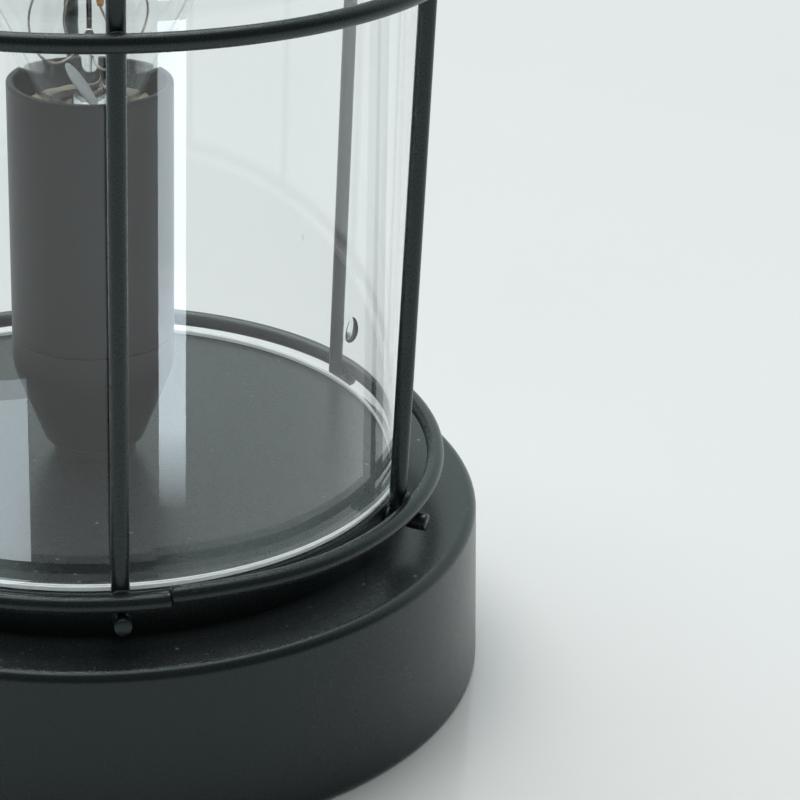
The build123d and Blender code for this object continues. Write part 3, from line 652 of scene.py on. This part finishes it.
STEM_NECK_Z = NECK_Z + 1.5
flare = [k / 10 for k in range(11)]
stem = [(AXIS_R, PLUG_TOP)]
stem += [(STEM_R + 1.2 * (1 - t) ** 2, PLUG_TOP + (STEM_NECK_Z - PLUG_TOP) * t) for t in flare]
stem += [(STEM_R, STEM_NECK_Z + (STEM_TOP - STEM_NECK_Z) * k / 12) for k in range(1, 13)]
stem += [(ROD_R, STEM_TOP + STEM_R), (ROD_R, ROD_TOP - 0.3), (ROD_R * 0.6, ROD_TOP), (AXIS_R, ROD_TOP)]
piece("bulb_press_stem", turned(stem, segments=64, ripple=pressed), "bulb_glass", "bulb", "bulb_stem")

# Pressed glass of the sealed-off exhaust tube, painted pale bluish white: a painted reflection of the bright room
pale_glass_painted_reflection = grained("pressed_glass_painted_reflection", "#e6eff4", "#fafdfe", 0.8, (0.2, 0.3), 0.02)
tube_foot, tube_tip = Vector((1.2, -5.6, 103.3)), Vector((-3.9, -0.6, 109.7))
leaning = (tube_tip - tube_foot).to_track_quat("Z", "Y").to_matrix().to_4x4()
tube_size = (1.2, 0.45, (tube_tip - tube_foot).length / 2)
sealed = egg((tube_foot + tube_tip) / 2, tube_size, -0.25, lean=leaning)
piece("bulb_exhaust_tube", sealed, "bulb_glass", "bulb", finish=pale_glass_painted_reflection)

# Cement: the plug that seats the stem, and the rough flange squeezed out between glass and cap
plug = [
    (AXIS_R, STEM_BOTTOM + SEAT_PLAY), (PLUG_R, STEM_BOTTOM + SEAT_PLAY), (PLUG_R, CAP_TOP - 0.2),
    (PLUG_HEAD_R, PLUG_TOP - 0.1), (AXIS_R, PLUG_TOP - 0.05),
]


def lumpy(angle, r, z):
    """Uneven rim of the squeezed cement."""
    return 0.25 * sin(5 * angle + r) + 0.15 * sin(13 * angle) if r > FLANGE_IN_R + 1 else 0.0


flange = [
    (FLANGE_IN_R, CAP_TOP - 0.6), (FLANGE_R, CAP_TOP - 0.4), (FLANGE_R + FLANGE_BULGE, CAP_TOP),
    (FLANGE_R, CAP_TOP + 0.5), (FLANGE_IN_R, CAP_TOP + 0.7),
]
cement = joined([turned(plug, segments=64), turned(flange, segments=120, ripple=lumpy)])
piece("bulb_neck_cement", cement, "potting", "bulb")

# Each filament is a stick of coated chips: thinner at its ends, with faint beads along it
lean = Vector((0, FILAMENT_FOOT[0] - FILAMENT_HEAD[0], FILAMENT_HEAD[1] - FILAMENT_FOOT[1]))
steps = 44
rod = [lean * (k / steps) for k in range(steps + 1)]
swell = [0.55 + 0.45 * min(1.0, min(k, steps - k) / 3) + (0.05 if k % 2 else 0.0) for k in range(steps + 1)]
stick = wires(rod, FILAMENT_R, "phosphor", sides=12, taper=swell)
angles = [FILAMENT_TURN + tau * i / FILAMENT_COUNT for i in range(FILAMENT_COUNT)]
sticks = placed(stick, [around(a, *FILAMENT_FOOT) for a in angles], "phosphor")
piece("bulb_filaments", sticks, "phosphor", "bulb", "filaments")

# Thin supports: each leaves the press, curls once and rises to its filament's foot, or runs from rod to head
bends = [Vector(p) for p in ((STEM_R + 0.4, 111.4), (7.5, 107.0), (13.5, 115.0), (8.9, 121.8))]
curl = []
for k in range(19):
    t = k / 18
    weights = ((1 - t) ** 3, 3 * t * (1 - t) ** 2, 3 * t * t * (1 - t), t ** 3)
    r, z = sum((w * b for w, b in zip(weights, bends)), Vector((0, 0)))
    curl.append(around(0.25 * sin(pi * t), r, z))
low = wires(curl, SUPPORT_R, "nickel", sides=8, copies=FILAMENT_COUNT, first=FILAMENT_TURN)
high_z = FILAMENT_HEAD[1] + FILAMENT_R
arm = [(ROD_R + 0.35, high_z), (2.4, high_z + 0.5), (4.0, high_z + 0.4), (5.0, high_z)]
arm = [around(0, r, z) for r, z in arm]
high = wires(arm, SUPPORT_R, "nickel", sides=8, copies=FILAMENT_COUNT, first=FILAMENT_TURN)
piece("bulb_supports", joined([low, high]), "nickel", "bulb", "support_wires")

# Under the base: domed screws with a cross recess, and dished rubber feet
head = turned([
    (0.0, SCREW_TOP - SCREW_HEAD_H), (SCREW_HEAD_R * 0.62, SCREW_TOP - SCREW_HEAD_H + 0.12),
    (SCREW_HEAD_R * 0.9, SCREW_TOP - SCREW_HEAD_H + 0.42), (SCREW_HEAD_R, SCREW_TOP - 0.3),
    (SCREW_HEAD_R, SCREW_TOP), (SCREW_R, SCREW_TOP), (SCREW_R, SCREW_TOP + SCREW_LENGTH - 1.0),
    (SCREW_R - 0.8, SCREW_TOP + SCREW_LENGTH), (0.0, SCREW_TOP + SCREW_LENGTH),
], segments=48)
cross = bmesh.new()
for size in ((RECESS_LENGTH, RECESS_WIDTH, RECESS_DEPTH), (RECESS_WIDTH, RECESS_LENGTH, RECESS_DEPTH)):
    corners = bmesh.ops.create_cube(cross, size=1.0)["verts"]
    bmesh.ops.scale(cross, vec=Vector(size) * MM, verts=corners)
    bmesh.ops.translate(cross, vec=(0, 0, (SCREW_TOP - SCREW_HEAD_H) * MM), verts=corners)
head = cut(head, cross)
spots = [around(radians(a + 90), POST_CIRCLE, 0) for a in (30, 150, 270)]
spots += [around(radians(a + 90), BALLAST_CIRCLE, 0) for a in (0, 180)]
screws = placed(head, spots, "zinc", seed=11, free_turn=pi)
piece("cover_screws", screws, "zinc", "lamp_body", "plate_screws", sharp=30)
pad = turned(round_corners([
    (0.01, 0.35, 0), (FOOT_R * 0.55, 0.35, 0), (FOOT_R * 0.7, 0.0, 0.2), (FOOT_R - 0.5, 0.0, 0.5),
    (FOOT_R, FOOT_H, 0.1), (0.01, FOOT_H, 0),
], steps=4, brace=0.05), segments=64)
spots = [around(radians(a + 90), FOOT_CIRCLE, 0) for a in (45, 135, 225, 315)]
pads = placed(pad, spots, "rubber")
piece("base_feet", pads, "rubber", "lamp_body", "rubber_feet")

# Table: pale melamine laminate, pressed smooth against a polished plate
table, tree, place = blank("pale_melamine_laminate")
mottle = add(tree, "ShaderNodeTexNoise", {"Vector": place, "Scale": per(90.0), "Detail": 3.0}).outputs["Fac"]
tone = add(tree, "ShaderNodeMix", {0: mottle, 6: linear("#e9e8e7"), 7: linear("#edeceb")}, data_type="RGBA")
close(tree, {"Base Color": tone.outputs[2], "Roughness": 0.1, "IOR": 1.6})
TABLE_HALF = 6.0
mesh = bpy.data.meshes.new("table")
corners = ((-1, -1), (1, -1), (1, 1), (-1, 1))
mesh.from_pydata([(x * TABLE_HALF, y * TABLE_HALF, 0) for x, y in corners], [], [(0, 1, 2, 3)])
mesh.materials.append(table)
floor = bpy.data.objects.new("table", mesh)
bpy.context.scene.collection.objects.link(floor)

# Light: a room that is bright at the back and pale where it is looked at, two strip boxes, and a ceiling
world = bpy.data.worlds.new("pale_room")
bpy.context.scene.world = world
world.use_nodes = True
tree = world.node_tree
tree.nodes.clear()
direction = add(tree, "ShaderNodeTexCoord").outputs["Generated"]
back = add(tree, "ShaderNodeSeparateXYZ", {"Vector": direction}).outputs["Y"]
glow = add(
    tree, "ShaderNodeMapRange",
    {"Value": back, "From Min": -0.3, "From Max": 0.5, "To Min": 0.12, "To Max": 0.85},
    interpolation_type="SMOOTHSTEP",
).outputs["Result"]
room = add(tree, "ShaderNodeBackground", {"Color": linear("#e2f2f2"), "Strength": glow}).outputs["Background"]
wall = add(tree, "ShaderNodeBackground", {"Color": linear("#dfe5e6"), "Strength": 1.0}).outputs["Background"]
# Looked at straight or through the glass, the room is an even pale wall
way = add(tree, "ShaderNodeLightPath").outputs
turns = add(tree, "ShaderNodeMath", {0: way["Diffuse Depth"], 1: way["Glossy Depth"]}, operation="ADD").outputs[0]
first = add(tree, "ShaderNodeMath", {0: turns, 1: 0.5}, operation="LESS_THAN").outputs[0]
through = add(tree, "ShaderNodeMath", {0: way["Is Transmission Ray"], 1: first}, operation="MULTIPLY").outputs[0]
seen = add(tree, "ShaderNodeMath", {0: way["Is Camera Ray"], 1: through}, operation="MAXIMUM").outputs[0]
both = add(tree, "ShaderNodeMixShader", {0: seen, 1: room, 2: wall}).outputs[0]
add(tree, "ShaderNodeOutputWorld", {"Surface": both})


# Two slim strip boxes stand on the table in front of the glass, and only the glass mirrors them
mirrors = bpy.data.collections.new("mirrors")
mirrors.objects.link(tube_piece)


def strip_box(name, x, y, azimuth, width, levels):
    """A strip box that stands on the table at a place in mm and faces the lamp, at an angle from the front.

    Its levels run from the table up: each one's top in mm, and its brightness."""
    low = 0.0
    for i, (high, brightness) in enumerate(levels):
        data = bpy.data.lights.new(f"{name}_{i}", "AREA")
        data.shape, data.size, data.size_y = "RECTANGLE", width * MM, (high - low) * MM
        data.energy = brightness * pi * data.size * data.size_y
        data.color = linear("#e6f5ff")[:3]
        lamp = bpy.data.objects.new(f"{name}_{i}", data)
        lamp.location = Vector((x, y, (low + high) / 2)) * MM
        lamp.rotation_euler = (-around(radians(azimuth), 1, 0)).to_track_quat("-Z", "Y").to_euler()
        lamp.visible_camera = lamp.visible_diffuse = lamp.visible_transmission = False
        lamp.light_linking.receiver_collection = mirrors
        bpy.context.scene.collection.objects.link(lamp)
        low = high


# The right one fades out towards the table, and is dimmer at the top
fade = [(k, 0.6 * k) for k in range(1, 17)]
strip_box(
    "right_strip", x=58.1, y=-147.8, azimuth=27.0, width=22.0,
    levels=[*fade, (39, 11.0), (46, 9.8), (52, 8.6), (120, 7.5)],
)
strip_box(
    "left_strip", x=-53.0, y=-115.7, azimuth=-31.6, width=27.1,
    levels=[(3, 4.0), (38, 6.3), (42, 3.0)],
)

# A white ceiling bounces the rest: wide and even, a little from behind
ceiling = bpy.data.lights.new("ceiling", "SUN")
ceiling.energy, ceiling.angle = 2.1, radians(56)
above = bpy.data.objects.new("ceiling", ceiling)
above.rotation_euler = (radians(-20), radians(-6), 0)
bpy.context.scene.collection.objects.link(above)

# Camera where the photograph was taken from
camera = bpy.data.cameras.new("camera")
camera.lens, camera.sensor_width = 128.449, 36.0
eye = bpy.data.objects.new("camera", camera)
eye.location = Vector((-5.598, -458.866, 256.627)) * MM
eye.rotation_euler = [radians(a) for a in (65.5191, -1.8282, -6.5831)]
bpy.context.scene.collection.objects.link(eye)
bpy.context.scene.camera = eye
bpy.context.scene.view_settings.view_transform = "Standard"
